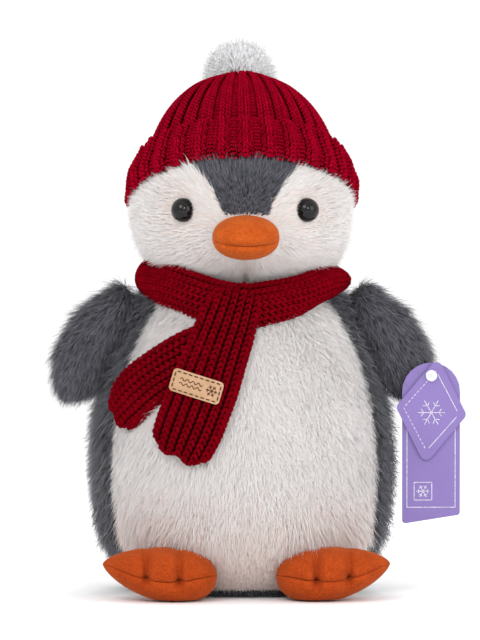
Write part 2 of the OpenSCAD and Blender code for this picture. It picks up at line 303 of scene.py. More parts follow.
def fur_material(name, root, middle, tip, tint, spread):
    """Strand colour along its length, with lighter and darker strands; the last quarter of the shades is tinted, and
    paints shade on the white fur round the eyes and the beak.
    """
    n = Nodes(name, 0.75, Sheen_Weight=0.25, Sheen_Roughness=0.4, Specular_IOR_Level=0.25)
    x, y = n.bake_map()
    along = n.ramp(y, (0.0, root), (0.45, middle), (1.0, tip))
    shade = n.math("FRACT", n.math("MULTIPLY", x, 4.0))
    varied = n.times(along, n.mix(shade, rgba(1.0 - spread), rgba(1.0 + spread)))
    outward(n)
    return n.colour(n.mix(n.math("GREATER_THAN", x, 0.75), varied, n.times(varied, rgba(tint))))


def pile_material(name, low, high):
    """Short backing pile under the strands."""
    n = Nodes(name, 0.95, Sheen_Weight=0.3)
    speck = n.noise(900.0, 2.0)
    n.bump(speck, 0.0012)
    return n.colour(n.ramp(speck, (0.3, low), (0.7, high)))


def suede_material(name, low, high):
    """Brushed suede: a fine nap over soft patches where it has been stroked one way or the other."""
    n = Nodes(name, 0.95, Sheen_Weight=0.2, Sheen_Roughness=0.4, Specular_IOR_Level=0.05,
              Sheen_Tint=(1.0, 0.45, 0.18, 1.0))
    nap, patch = n.noise(1200.0, 3.0), n.noise(100.0, 3.0)
    n.bump(n.math("ADD", nap, n.math("MULTIPLY", patch, 1.5)), 0.0004, 0.7)
    return n.colour(n.times(n.ramp(patch, (0.2, low), (0.8, high)), n.ramp(nap, (0.36, 0.72), (0.62, 1.12))))


def yarn_material(name, dark, light):
    """Twisted wool: the plies wind round each stitch's own map, and each stitch has its own shade."""
    n = Nodes(name, 1.0, Sheen_Weight=0.06, Sheen_Roughness=0.5, Specular_IOR_Level=0.0,
              Sheen_Tint=(1.0, 0.05, 0.12, 1.0))
    x, y = n.bake_map()
    column = n.math("MULTIPLY", x, float(SHADES))
    turn = n.math("MULTIPLY", n.math("FRACT", column), 12.6)
    ply = n.math("ABSOLUTE", n.math("SINE", n.math("ADD", turn, n.math("MULTIPLY", y, 16.0))))
    n.bump(ply, 0.0006, 0.9)
    shade = n.math("FRACT", n.math("MULTIPLY", n.math("FLOOR", column), GOLDEN))
    return n.colour(n.times(n.ramp(ply, (0.0, dark), (0.8, light)), n.ramp(shade, (0.0, 0.78), (1.0, 1.12))))


def grained_material(name, roughness, shine, grain, cloud, bump, share, clouds, grains):
    """A smooth sheet: a wide cloud of colour under a fine grain that also raises its face."""
    n = Nodes(name, roughness, Specular_IOR_Level=shine)
    fine, wide = n.noise(*grain), n.noise(*cloud)
    n.bump(fine, *bump)
    ramps = (n.ramp(factor, (0.3, low), (0.7, high)) for factor, (low, high) in ((wide, clouds), (fine, grains)))
    return n.colour(n.mix(share, *ramps))


def speckled_material(name, colour, roughness, noise, bump, dark, **constants):
    """One colour, a little darker in the low places of a fine noise that raises the face."""
    n = Nodes(name, roughness, **constants)
    fine = n.noise(*noise)
    n.bump(fine, *bump)
    return n.colour(n.ramp(fine, (0.3, tuple(c * dark for c in colour)), (0.7, colour)))


def gloss_material(name, colour, roughness, **constants):
    """Moulded plastic with the faint unevenness of its surface."""
    return speckled_material(name, colour, roughness, (260.0, 2.0), (0.00003, 0.3), 0.9, **constants)


def cloth_material(name, colour):
    return speckled_material(name, colour, 0.95, (700.0, 2.0), (0.0008,), 0.55, Specular_IOR_Level=0.0)


# ---------------------------------------------------------------- fur

FLOOR_GAP = 0.0004  # least height of a strand over the floor


def scatter(obj, density, rng):
    """Random points on a mesh, even over its area and so many to the square millimetre, with smooth normals."""
    co, no = points_of(obj)
    tris = triangles_of(obj)
    a, b, c = (co[tris[:, i]] for i in range(3))
    areas = np.linalg.norm(np.cross(b - a, c - a), axis=1)
    count = int(areas.sum() / 2 / MM**2 * density * (1.0))
    pick = rng.choice(len(tris), size=count, p=areas / areas.sum())
    u, v = np.sqrt(rng.random(count)), rng.random(count)
    w = np.stack([1 - u, u * (1 - v), u * v], 1)[:, :, None]
    corners = tris[pick]
    return (co[corners] * w).sum(1), unit((no[corners] * w).sum(1))


def clump_pull(roots, per_clump, rng):
    """For each root, the offset to the centre of the clump that it belongs to."""
    centres = roots[rng.choice(len(roots), max(1, len(roots) // per_clump), replace=False)]
    tree = kdtree.KDTree(len(centres))
    for i, p in enumerate(centres):
        tree.insert(p, i)
    tree.balance()
    nearest = np.array([tree.find(p)[1] for p in roots])
    return centres[nearest] - roots


STEPS = (0.0, 0.34, 0.68, 1.0)  # rings of points along a strand
HALF_WIDTHS = (0.5, 0.46, 0.3)
STRAND_POINTS = 7
STRAND_TRIS = np.array([(0, 3, 1), (0, 2, 3), (2, 5, 3), (2, 4, 5), (4, 6, 5)])


def tinted_shades(chance, rng):
    """A shade for each strand, a tinted one where a random draw falls below its chance."""
    plain = rng.integers(0, TINTED, len(chance))
    return np.where(rng.random(len(chance)) < chance, rng.integers(TINTED, SHADES, len(chance)), plain)


def strands(name, roots, normals, comb, material, rng, reach, rise, width=0.55 * MM, per_clump=22, clump=0.45,
            mess=0.22, glint=0.2, grow=1.0, shade=None):
    """One mesh of tapered ribbons, each of which rises from its root and leans along comb."""
    count = len(roots)
    reach = reach * grow * rng.uniform(0.6, 1.25, count)
    rise = rise * grow * rng.uniform(0.55, 1.3, count)
    pull = clump_pull(roots, per_clump, rng) * clump
    lean = unit(comb + rng.normal(size=(count, 3)) * mess)
    roll = rng.uniform(-0.9, 0.9, count)[:, None]
    side = unit(np.cross(normals, lean))
    side = side * np.cos(roll) + normals * np.sin(roll)
    width = width * rng.uniform(0.6, 1.3, count)[:, None]
    points = np.empty((count, STRAND_POINTS, 3))
    for i, s in enumerate(STEPS):
        middle = roots + normals * (rise * (1 - (1 - s) ** 1.7))[:, None]
        middle = middle + lean * (reach * s**1.25)[:, None] + pull * s**1.5
        if i < len(HALF_WIDTHS):
            half = side * width * HALF_WIDTHS[i]
            points[:, 2 * i], points[:, 2 * i + 1] = middle - half, middle + half
        else:
            points[:, -1] = middle
    points[:, :, 2] = np.maximum(points[:, :, 2], FLOOR_GAP)
    faces = (np.arange(count)[:, None, None] * STRAND_POINTS + STRAND_TRIS).reshape(-1, 3)
    column = rng.integers(0, TINTED, count) if shade is None else shade
    left, right = (column + 0.08) / SHADES, (column + 0.92) / SHADES
    u = np.stack([left, right] * 3 + [(left + right) / 2], 1)
    v = np.broadcast_to(np.repeat(STEPS, 2)[:STRAND_POINTS], (count, STRAND_POINTS))
    uv = np.stack([u, v], -1).reshape(-1, 2)[faces.ravel()]
    soft = unit(normals * 0.85 + lean * 0.15 + rng.normal(size=(count, 3)) * glint)
    return mesh_object(name, points.reshape(-1, 3), faces, [material], uv, np.repeat(soft, STRAND_POINTS, axis=0))


def fur(name, skin, body, material, seed, density, comb, keep=None, thin=None, grow=None, shade=None, **look):
    """Fur over a skin: density is strands to the square millimetre, comb gives the lie at each root."""
    rng = np.random.default_rng(seed)
    roots, normals = scatter(skin, density, rng)
    mask = keep(roots) if keep else np.ones(len(roots), bool)
    if thin:
        mask &= rng.random(len(roots)) < thin(roots)
    roots, normals = roots[mask], normals[mask]
    if grow:
        look["grow"] = grow(roots)
    if shade:
        look["shade"] = shade(roots, rng)
    lie = comb(roots)
    lie = unit(lie - normals * (lie * normals).sum(1, keepdims=True))
    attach(strands(name, roots, normals, lie, material, rng, **look), body)


# ---------------------------------------------------------------- skins under the fur


def lathe(rings, columns, place=None):
    """Points and quads of an open surface of revolution through rings of (radius, height)."""
    rings = np.asarray(rings, float)
    a = np.linspace(0, 2 * math.pi, columns, endpoint=False)
    x = rings[:, :1] * np.cos(a)[None]
    y = rings[:, :1] * np.sin(a)[None]
    z = np.repeat(rings[:, 1:], columns, axis=1)
    verts = np.stack([x, y, z], -1).reshape(-1, 3)
    return verts if place is None else place(verts), grid_faces(len(rings), columns, True)


def split_skin(verts, quads, chooser, names):
    """One object for each panel that chooser gives faces to."""
    which = chooser(verts[quads].mean(1))
    made = []
    for i, name in enumerate(names):
        used, inverse = np.unique(quads[which == i], return_inverse=True)
        made.append(mesh_object(name, verts[used], inverse.reshape(-1, 4)))
    return made


def mended(obj, reach, fill=False):
    """The object with points closer than reach made one, and its holes filled if fill."""
    bm = bmesh.new()
    bm.from_mesh(obj.data)
    bmesh.ops.remove_doubles(bm, verts=bm.verts, dist=reach)
    if fill:
        bmesh.ops.holes_fill(bm, edges=bm.edges, sides=0)
        bmesh.ops.recalc_face_normals(bm, faces=bm.faces)
    bm.to_mesh(obj.data)
    bm.free()
    return obj


def join_skins(skins):
    """One object with the meshes of several, for scattering over them all."""
    verts, faces, start = [], [], 0
    for obj in skins:
        co, _ = points_of(obj)
        quads = np.empty(len(obj.data.polygons) * 4, np.int32)
        obj.data.polygons.foreach_get("vertices", quads)
        verts.append(co)
        faces.append(quads.reshape(-1, 4) + start)
        start += len(co)
    return mended(mesh_object("whole", np.vstack(verts), np.vstack(faces)), 1e-6)


def thicken(obj, thickness, material):
    """The object's sheet made solid inwards, in one material."""
    solid = obj.modifiers.new("thickness", "SOLIDIFY")
    solid.thickness, solid.offset = thickness, -1.0
    applied(obj).data.materials.append(material)


def stuffed(obj, body, fill, *nodes):
    """A stuffed piece rides on its body in place of CAD nodes."""
    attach(obj, body)
    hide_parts(*nodes)


def pelt(skin, pile, body, *nodes):
    thicken(skin, SKIN, pile)
    stuffed(skin, body, 0.75, *nodes)


# Sizes of the CAD's solids. The body is a superellipse below its widest level and an ellipse above it.
BODY_R = -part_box("belly_panel")[0][1]
BODY_MID = 0.082
BASE_R = 0.058
LOW_POWER = 2.6
BODY_LOW = BODY_MID / (1 - (BASE_R / BODY_R) ** LOW_POWER) ** (1 / LOW_POWER)
SHOULDER_H = 0.1224
BODY_TOP = 0.186
HEM = 0.006  # grey edge of the belly above the floor
BELLY_ANGLE = math.radians(63)
HEAD = np.array([0.0, 0.0, JOINTS["head_turn"]["pos_m"][2]])
HEAD_R = 0.069
HAT_AXIS = np.array(JOINTS["hat_lift"]["axis"])
HAT_TILT = math.atan2(HAT_AXIS[1], HAT_AXIS[2])
CROWN_R = 0.063
CROWN_UP = 0.021
SKIN = 0.002  # thickness of a plush skin
LINING_DEPTH = 0.0038
FUR_DEPTH = 0.0045  # skin below the solids' surface, which is the middle of the pile


def body_radius(z):
    z = np.asarray(z, float)
    low = BODY_R * (1 - np.clip((BODY_MID - z) / BODY_LOW, 0, 1) ** LOW_POWER) ** (1 / LOW_POWER)
    high = BODY_R * np.sqrt(np.clip(1 - ((z - BODY_MID) / SHOULDER_H) ** 2, 0, 1))
    return np.where(z < BODY_MID, low, high)


def azimuth(p):
    """Angle from the front, positive towards the right, of each point round the toy's axis."""
    return np.arctan2(p[:, 0], -p[:, 1])


def make_body():
    levels = np.linspace(0.0015, BODY_TOP, 64)
    verts, quads = lathe(np.stack([body_radius(levels) - FUR_DEPTH, levels], 1), 132)
    turn = np.abs(azimuth(verts))
    seam = np.minimum(np.abs(turn - BELLY_ANGLE), np.abs(turn - math.pi))
    lumps = ripple(verts, 0.09, 3) * 0.0012 - 0.0018 * bell(seam * BODY_R / 0.006)
    shoulders = bell((turn - math.radians(88)) / math.radians(24))
    lumps += 0.0140 * shoulders * bell((verts[:, 2] - 0.181) / 0.017)
    verts = verts + unit(verts * (1, 1, 0)) * lumps[:, None]

    def panel(p):
        a = azimuth(p)
        return np.where(np.abs(a) < BELLY_ANGLE, 0, np.where(a < 0, 1, 2))

    def down(p):
        flow = np.full_like(p, -1.0)
        flow[:, 0] = 0.35 * (p[:, 0] / BODY_R) + 0.25 * ripple(p, 0.05, 11)
        flow[:, 1] = 0.25 * ripple(p, 0.05, 12)
        return flow

    # More strands take the tinted, darker and warmer shades towards the bottom of the belly.
    def tinted_towards_floor(p, rng):
        return tinted_shades(np.clip((0.075 - p[:, 2]) / 0.07, 0, 0.8) + 0.08, rng)

    def trimmed(p):
        """Pile pressed short by the floor and the scarf, and long where it hangs over the feet."""
        by_floor = np.clip((p[:, 2] + 0.004) / 0.034, 0.25, 1.0)
        over_feet = bell((p[:, 2] - 0.042) / 0.008, (np.abs(p[:, 0]) - 0.045) / 0.026)
        return by_floor * np.where(under_scarf(p), 0.32, 1.0) * (1 + 1.5 * over_feet * (p[:, 1] < 0))

    def part(index, low, high):
        return lambda p: (panel(p) == index) & (p[:, 2] >= low) & (p[:, 2] < high)

    skins = split_skin(verts, quads, panel, ["belly_skin", "back_left_skin", "back_right_skin"])
    whole = join_skins(skins)
    for name, low, high, seed in (("low", HEM, 0.060, 21), ("middle", 0.060, 0.100, 24), ("high", 0.100, 0.138, 25),
                                  ("top", 0.138, BODY_TOP, 27)):
        fur(f"belly_{name}_fur", whole, "body", WHITE_FUR, seed, 3.3, down, reach=7.8 * MM, rise=4.1 * MM,
            width=0.26 * MM, clump=0.02, mess=0.20, glint=0.03, per_clump=10, shade=tinted_towards_floor, keep=part(0, low, high),
            grow=trimmed)
    for index, side, seed in ((1, "left", 22), (2, "right", 23)):
        fur(f"back_{side}_fur", whole, "body", GREY_FUR, seed, 1.15, down, reach=9.5 * MM, rise=6.3 * MM,
            width=0.46 * MM, clump=0.4, mess=0.3, keep=part(index, 0.0, BODY_TOP), grow=trimmed)
    fur("belly_hem_fur", whole, "body", GREY_FUR, 26, 1.2, down, reach=7 * MM, rise=4.5 * MM, width=0.42 * MM,
        clump=0.3, mess=0.3, keep=part(0, 0.0, HEM))
    bpy.data.objects.remove(whole)
    belly, left, right = skins
    pelt(belly, WHITE_PILE, "body", "belly_panel", "body_stuffing", "pellet_bag")
    pelt(left, GREY_PILE, "body", "back_panel_left")
    pelt(right, GREY_PILE, "body", "back_panel_right")


def make_base():
    """Flat base panel with a rounded rim of short pile, closed by a fan round its middle on each face."""
    rim, columns, r = 0.0035, 96, BASE_R - 0.001
    arc = [(r - rim + rim * math.cos(t), rim - rim * math.sin(t)) for t in np.linspace(math.pi / 2, 0, 6)]
    verts, quads = lathe([(0.02, 0.0), (0.04, 0.0), *arc, (r - 0.001, HEM), (0.03, HEM)], columns)
    count = len(verts)
    around = pairs(list(range(columns)))
    last = count - columns
    fans = [(a, b, count) for a, b in around] + [(last + b, last + a, count + 1) for a, b in around]
    mesh = bpy.data.meshes.new("base_skin")
    mesh.from_pydata([*verts.tolist(), (0, 0, 0.0), (0, 0, HEM)], [], [*quads.tolist(), *fans])
    mesh.polygons.foreach_set("use_smooth", np.ones(len(mesh.polygons), bool))
    mesh.materials.append(GREY_PILE)
    obj = placed("base_skin", mesh)
    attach(obj, "body")
    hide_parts("base_panel")


# ---------------------------------------------------------------- head

BEAK = np.array([0.0, -0.066, 0.2215])
WEDGE_LOW = 0.2345  # lowest point of the forehead wedge
EYES = [np.array(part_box(f"eye_{side}")).mean(0) for side in ("left", "right")]


def hat_place(p):
    """Points of the hat's own frame, put where the hat is."""
    c, s = math.cos(HAT_TILT), math.sin(HAT_TILT)
    x, y, z = p[:, 0], p[:, 1], p[:, 2]
    return np.stack([x, y * c + z * s, z * c - y * s], 1) + HEAD


def hat_height(p):
    """Height of points along the hat's axis, from the brim's plane."""
    return (p - HEAD) @ HAT_AXIS


def eye_distance(p):
    return np.minimum(*[np.linalg.norm(p - unit(e - HEAD) * HEAD_R - HEAD, axis=1) for e in EYES])


def make_head():
    in_hat = CROWN_R - 0.0036 - 0.0062
    below = np.linspace(-math.pi / 2 + 0.03, -0.02, 44)
    dome = np.linspace(0.02, math.pi / 2 - 0.03, 30)
    ball = [((HEAD_R - FUR_DEPTH) * math.cos(t), (HEAD_R - FUR_DEPTH) * math.sin(t)) for t in below]
    column = [(in_hat, h) for h in (0.003, 0.009, 0.015)]
    crown = [(in_hat * math.cos(t) * rounding(t) / rounding(0.0), CROWN_UP + in_hat * math.sin(t)) for t in dome]
    verts, quads = lathe([*ball, *column, *crown], 120, hat_place)
    x, y, z = verts.T
    dimple = -0.0035 * bell(eye_distance(verts) / 0.010)
    chin = np.where(y < 0, -0.0016 * bell(x / 0.004) * (z < 0.215), 0)
    cheeks = 0.0025 * bell((np.abs(x) - 0.045) / 0.02, (z - 0.222) / 0.02)
    verts = verts + unit(verts - HEAD) * (dimple + chin + cheeks + 0.0008 * ripple(verts, 0.05, 5))[:, None]

    def panel(p):
        half = np.interp(p[:, 2], [WEDGE_LOW, 0.2500, 0.2690, 0.330], [0.0125, 0.0190, 0.0345, 0.044])
        wedge = (np.abs(p[:, 0]) < half) & (p[:, 2] > WEDGE_LOW)
        side = np.where(p[:, 0] < 0, 0, 1)
        return np.where(p[:, 1] < 0.008, np.where(wedge, 2, side), side + 3)

    def from_beak(p):
        flow = p - BEAK
        flow[:, 2] -= 0.004
        flow = unit(flow)
        flow[:, 0] += 0.18 * ripple(p, 0.03, 31)
        flow[:, 2] += 0.18 * ripple(p, 0.03, 32)
        return flow

    def backwards(p):
        return np.tile((0.0, 0.6, -1.0), (len(p), 1))

    def beak_distance(p):
        return np.linalg.norm(p - BEAK, axis=1)

    def clear_of_eyes(p):
        beak = ((p - BEAK) / (0.019, 0.030, 0.012)) ** 2
        return (eye_distance(p) > 0.0085) & (beak.sum(1) > 1.0)

    def trimmed(p):
        """Pile short by the eyes, the beak and the seam of the chin, and inside the hat."""
        near_eye = np.clip((eye_distance(p) - 0.006) / 0.014, 0.35, 1.0)
        near_beak = np.clip((beak_distance(p) - 0.014) / 0.020, 0.45, 1.0)
        in_hat_too = np.where(hat_height(p) > 0.001, 0.4, 1.0)
        parting = np.where((p[:, 2] < 0.210) & (p[:, 1] < 0), np.clip(np.abs(p[:, 0]) / 0.0035, 0.4, 1.0), 1.0)
        return near_eye * near_beak * in_hat_too * parting

    # Painted shade: more strands take the tinted, darker shades in the hollows round the eyes, round the beak and
    # along the chin's seam.
    def shaded_eyes(p, rng):
        chance = 0.10 + 0.75 * bell(eye_distance(p) / 0.013)
        chance += 0.35 * bell(beak_distance(p) / 0.030)
        chance += 0.7 * bell(p[:, 0] / 0.002) * (p[:, 2] < 0.212)
        return tinted_shades(chance, rng)

    def bare_in_hat(p):
        return np.where(hat_height(p) > 0.008, 0.2, 1.0)

    white = dict(shade=shaded_eyes, width=0.29 * MM, rise=4.4 * MM, clump=0.03, mess=0.20, glint=0.03, per_clump=10)
    grey = dict(width=0.33 * MM, rise=4.3 * MM, clump=0.25, mess=0.24, glint=0.2)
    panels = [
        ("face_left", ("face_panel_left", "head_stuffing"), WHITE_FUR, WHITE_PILE, 3.5, from_beak, white),
        ("face_right", ("face_panel_right",), WHITE_FUR, WHITE_PILE, 3.5, from_beak, white),
        ("forehead", ("forehead_panel",), GREY_FUR, GREY_PILE, 2.8, from_beak, grey),
        ("head_back_left", ("head_back_left",), GREY_FUR, GREY_PILE, 2.8, backwards, grey),
        ("head_back_right", ("head_back_right",), GREY_FUR, GREY_PILE, 2.8, backwards, grey),
    ]
    skins = split_skin(verts, quads, panel, [f"{name}_skin" for name, *_ in panels])
    whole = join_skins(skins)
    for i, (name, _, hair, _, density, comb, look) in enumerate(panels):
        fur(f"{name}_fur", whole, "head", hair, 40 + i, density, comb, grow=trimmed, thin=bare_in_hat,
            keep=lambda p, i=i: clear_of_eyes(p) & (panel(p) == i), reach=8 * MM, **look)
    bpy.data.objects.remove(whole)
    for skin, (_, nodes, _, pile, *_) in zip(skins, panels, strict=True):
        pelt(skin, pile, "head", *nodes)


# ---------------------------------------------------------------- beak and feet


SHELL = 0.8  # share of the way round a cushion that is its face; the rest closes it through its middle
CLOSING = 0.2


def cushion(name, section, rows, columns, material, body, *nodes):
    """Closed suede cushion: section(s, t) gives points for s along it from 0 to 1 and t round it from 0 to 1."""
    around = np.concatenate([np.linspace(0, SHELL, columns), [0.85, 0.95]])
    s, t = (a.ravel() for a in np.meshgrid(np.linspace(0.0, 1.0, rows), around, indexing="ij"))
    obj = mesh_object(name, section(s, t), grid_faces(rows, len(around), True), [material])
    mended(obj, 1e-5, fill=True)
    obj.data.polygons.foreach_set("use_smooth", np.ones(len(obj.data.polygons), bool))
    stuffed(obj, body, 0.8, *nodes)


def slice_round(t, low, high):
    """For t round a slice between two angles: its face's angle, the angle that also closes it, and its size."""
    face = low + (high - low) * np.clip(t / SHELL, 0, 1)
    back = np.clip((t - SHELL) / CLOSING, 0, 1)
    turn = np.where(t < SHELL, face, np.where(back < 0.5, high, low))
    return face, turn, np.where(t < SHELL, 1.0, np.abs(2 * back - 1))


BEAK_HALF = np.array([0.0205, 0.0265, 0.0138])
SEAM_TURN = math.radians(-24)


def beak_section(low, high):
    """Slice of the beak between two angles about its long axis."""

    def section(s, t):
        lon = math.pi * s
        face, turn, ends = slice_round(t, low, high)
        size = np.sin(lon) ** 0.86 * (1 - 0.09 * bell((face - SEAM_TURN) / math.radians(9))) * ends
        x, y, z = BEAK_HALF
        return np.stack([-x * np.cos(lon), -y * size * np.cos(turn), z * size * np.sin(turn)], 1) + BEAK

    return section


def make_beak():
    gap, half_turn = math.radians(1.2), math.radians(100)
    cushion("beak_upper_cushion", beak_section(SEAM_TURN + gap, half_turn), 41, 30, BEAK_SUEDE, "head",
            "beak_upper", "beak_stuffing")
    cushion("beak_lower_cushion", beak_section(-half_turn, SEAM_TURN - gap), 41, 30, BEAK_SUEDE, "head", "beak_lower")


def foot_point(side, s, turn, shrink):
    """Foot surface: s runs from the round inner end to the high pointed outer end, turn goes round that axis."""
    x = 0.0180 + 0.0700 * s
    inner = np.sqrt(np.clip(1 - ((FOOT_WIDEST - s) / FOOT_WIDEST) ** 2, 0, 1))
    outer = np.clip(1 - ((s - FOOT_WIDEST) / 0.64) ** 2.0, 0, 1) ** 0.66
    blunt = np.where(s < FOOT_WIDEST, inner**0.85, outer)
    middle = 0.0148 + 0.0075 * np.clip((s - 0.25) / 0.75, 0, 1) ** 1.6
    below = 0.0168 * blunt * shrink
    above = 0.0172 * blunt**1.1 * shrink
    y = -0.077 - 0.004 * (1 - (2 * s - 1) ** 2) - 0.0250 * blunt * shrink * np.cos(turn)
    z = middle + np.where(np.sin(turn) > 0, above, below) * np.sin(turn)
    z = np.where(z < FOOT_FLAT, FOOT_FLAT + (z - FOOT_FLAT) * 0.12, z)
    return np.stack([side * x, y, np.maximum(z, 0.0003)], 1)


FOOT_SEAM = math.radians(9)
SEAM_DIP = math.radians(20)
TOE_SEAMS = (0.34, 0.62)
FOOT_WIDEST = 0.36
FOOT_FLAT = 0.0012


def make_foot(side, name):
    def part(low, high):
        def section(s, t):
            _, turn, ends = slice_round(t, low, high)
            off_seam = turn - FOOT_SEAM
            near = bell(off_seam / math.radians(7))
            above = bell(off_seam / np.where(turn > FOOT_SEAM, math.radians(62), math.radians(20)))
            pucker = sum(bell((s - at) / 0.034) for at in TOE_SEAMS)
            shrink = (1 - near * 0.06 - (above * 0.30 + near * 0.06) * pucker) * ends
            dip = SEAM_DIP * np.sin(np.clip(1 - s, 0, 1) ** 0.8 * math.pi) * bell(off_seam)
            return foot_point(side, s, turn - dip, shrink)

        return section

    gap, foot = math.radians(0.8), f"foot_{name}"
    cushion(f"{foot}_top_cushion", part(FOOT_SEAM + gap, math.radians(190)), 91, 46, SHADED_FOOT_SUEDE, foot,
            f"{foot}_top", f"{foot}_stuffing")
    cushion(f"{foot}_sole_cushion", part(math.radians(-170), FOOT_SEAM - gap), 91, 46, SHADED_FOOT_SUEDE, foot,
            f"{foot}_sole")


# ---------------------------------------------------------------- wings


def hull_form(name, nodes, voxel):
    """Smooth closed form round CAD nodes."""
    bm = bmesh.new()
    for node in nodes:
        bm.from_mesh(NODES[node].data)
    hull = bmesh.ops.convex_hull(bm, input=bm.verts)
    loose = [g for g in hull["geom_interior"] + hull["geom_unused"] if isinstance(g, bmesh.types.BMVert)]
    bmesh.ops.delete(bm, geom=list(set(loose)), context="VERTS")
    mesh = bpy.data.meshes.new(name)
    bm.to_mesh(mesh)
    bm.free()
    obj = placed(name, mesh)
    remesh = obj.modifiers.new("remesh", "REMESH")
    remesh.mode, remesh.voxel_size, remesh.use_smooth_shade = "VOXEL", voxel, True
    smooth = obj.modifiers.new("smooth", "SMOOTH")
    smooth.factor, smooth.iterations = 0.5, 12
    return applied(obj)


def make_wing(side, name):
    nodes = [f"wing_{name}_front", f"wing_{name}_back"]
    skin = hull_form(f"wing_{name}_skin", nodes, 0.003)
    co, no = points_of(skin)
    moved = co - no * 0.0035
    near_neck = np.exp(-(((moved - (side * 0.073, 0.0, 0.188)) / 0.015) ** 2).sum(1))
    moved += near_neck[:, None] * (0.0, 0.0, 0.0120)
    skin.data.vertices.foreach_set("co", moved.astype(np.float32).ravel())
    skin.data.update()
    root = np.array(JOINTS[f"wing_{name}_flap"]["pos_m"]) + (-side * 0.026, 0.0, 0.030)

    def to_tip(p):
        flow = unit(p - root)
        flow[:, 2] -= 0.8
        flow[:, 0] += side * 0.35
        flow[:, 0] += 0.22 * ripple(p, 0.03, 51 + side)
        flow[:, 1] += 0.22 * ripple(p, 0.03, 52 + side)
        return flow

    def short_at_neck(p):
        return 1 - 0.55 * np.exp(-(((p - (side * 0.072, 0.0, 0.198)) / 0.016) ** 2).sum(1))

    fur(f"wing_{name}_fur", skin, f"wing_{name}", GREY_FUR, 60 + side, 2.3, to_tip, reach=10 * MM, rise=5.2 * MM,
        width=0.40 * MM, clump=0.45, mess=0.22, per_clump=26, grow=short_at_neck)
    skin.data.materials.append(GREY_PILE)
    stuffed(skin, f"wing_{name}", 0.7, *nodes, f"wing_{name}_stuffing")


# ---------------------------------------------------------------- knitting


def blob(sides, rings):
    """Unit stitch leg: an ellipsoid along X, its triangles and its corners' map, u round it and v along it."""
    lat = np.linspace(0, math.pi, rings + 2)[1:-1]
    turn = 2 * math.pi * np.arange(sides) / sides
    ring = [[(-math.cos(a), math.sin(a) * math.cos(t), math.sin(a) * math.sin(t)) for t in turn] for a in lat]
    verts = np.array([(-1.0, 0.0, 0.0), *[p for r in ring for p in r], (1.0, 0.0, 0.0)])
    tip = len(verts) - 1
    faces, uv = [], []
    for i in range(sides):
        k, u0, u1 = (i + 1) % sides, i / sides, (i + 1) / sides
        mid = (u0 + u1) / 2
        first, last = 1 / (rings + 1), rings / (rings + 1)
        faces.append((0, 1 + k, 1 + i))
        uv.append(((mid, 0.0), (u1, first), (u0, first)))
        for j in range(rings - 1):
            p, q = 1 + j * sides, 1 + (j + 1) * sides
            v0, v1 = (j + 1) / (rings + 1), (j + 2) / (rings + 1)
            faces += [(p + i, p + k, q + k), (p + i, q + k, q + i)]
            uv += [((u0, v0), (u1, v0), (u1, v1)), ((u0, v0), (u1, v1), (u0, v1))]
        end = 1 + (rings - 1) * sides
        faces.append((tip, end + i, end + k))
        uv.append(((mid, 1.0), (u0, last), (u1, last)))
    return verts, np.array(faces), np.array(uv)


def stitches(name, parts, material, seed, detail=(6, 3)):
    """A blob at each place, stretched along, across and out of the cloth by its three half sizes."""
    places, along, across, out, sizes = parts
    verts, faces, uv = blob(*detail)
    count = len(places)
    basis = np.stack([along, across, out], 1) * sizes[:, :, None]
    points = places[:, None, :] + np.einsum("vk,nkd->nvd", verts, basis)
    all_faces = (np.arange(count)[:, None, None] * len(verts) + faces).reshape(-1, 3)
    column = np.random.default_rng(seed).integers(0, SHADES, count)[:, None, None]
    u = (column + 0.04 + 0.92 * uv[None, :, :, 0]) / SHADES
    v = np.broadcast_to(uv[None, :, :, 1], u.shape)
    return mesh_object(name, points.reshape(-1, 3), all_faces, [material], np.stack([u, v], -1).reshape(-1, 2))


def tilted(along, across, out, angle, dip):
    """A stitch leg's own axes: turned in the cloth by angle and dipped into it by dip."""
    angle, dip = np.reshape(angle, (-1, 1)), np.reshape(dip, (-1, 1))
    a = along * np.cos(angle) + across * np.sin(angle)
    b = across * np.cos(angle) - along * np.sin(angle)
    return a * np.cos(dip) + out * np.sin(dip), b, out * np.cos(dip) - a * np.sin(dip)


def knit_legs(places, along, across, out, pitch, course, thick, lean=0.46, slim=1.0):
    """Both legs of a V stitch at each place, as arrays for stitches()."""
    pitch, course, thick = (np.broadcast_to(a, len(places)) for a in (pitch, course, thick))
    size = np.stack([course * 0.74 * slim**0.5, pitch * 0.25 * slim, thick], 1)
    return joined([(places + across * (side * pitch * 0.225)[:, None],
                    *tilted(along, across, out, -side * lean, 0.30), size) for side in (-1, 1)])


def rounding(t):
    """The crown's share of its full radius at angle t up its dome: it tapers, then comes back at the top."""
    return 0.955 - 0.035 * np.sin(np.clip(t / 1.2, 0, 1) * math.pi)


def ring_frames(angle, r, h, dr, dh):
    """Place, up, across and out of points round an axis, from their radius, height and unit slope."""
    c, sn = np.cos(angle), np.sin(angle)
    return (np.stack([r * sn, -r * c, h], 1), np.stack([dr * sn, -dr * c, dh], 1),
            np.stack([c, sn, np.zeros_like(c)], 1), np.stack([dh * sn, -dh * c, -dr], 1))


def hat_shell(angle, s):
    """Frames on the crown; s is the length up from the brim."""
    t = np.clip((s - CROWN_UP) / CROWN_R, 0, math.pi / 2)
    h = np.where(s < CROWN_UP, s, CROWN_UP + CROWN_R * np.sin(t))
    dr, dh = np.where(s < CROWN_UP, 0, -np.sin(t)), np.where(s < CROWN_UP, 1, np.cos(t))
    return ring_frames(angle, CROWN_R * np.cos(t) * rounding(t), h, dr, dh)


def knitted(yarn, cloth, node, flat, held, rests_on, **more):
    """Hides the CAD node whose place the stitches and their thin cloth take."""
    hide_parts(node)


def on_hat(place, *axes):
    """Places and directions of the hat's own frame, put where the hat is."""
    return [hat_place(place), *(hat_place(axis) - HEAD for axis in axes)]


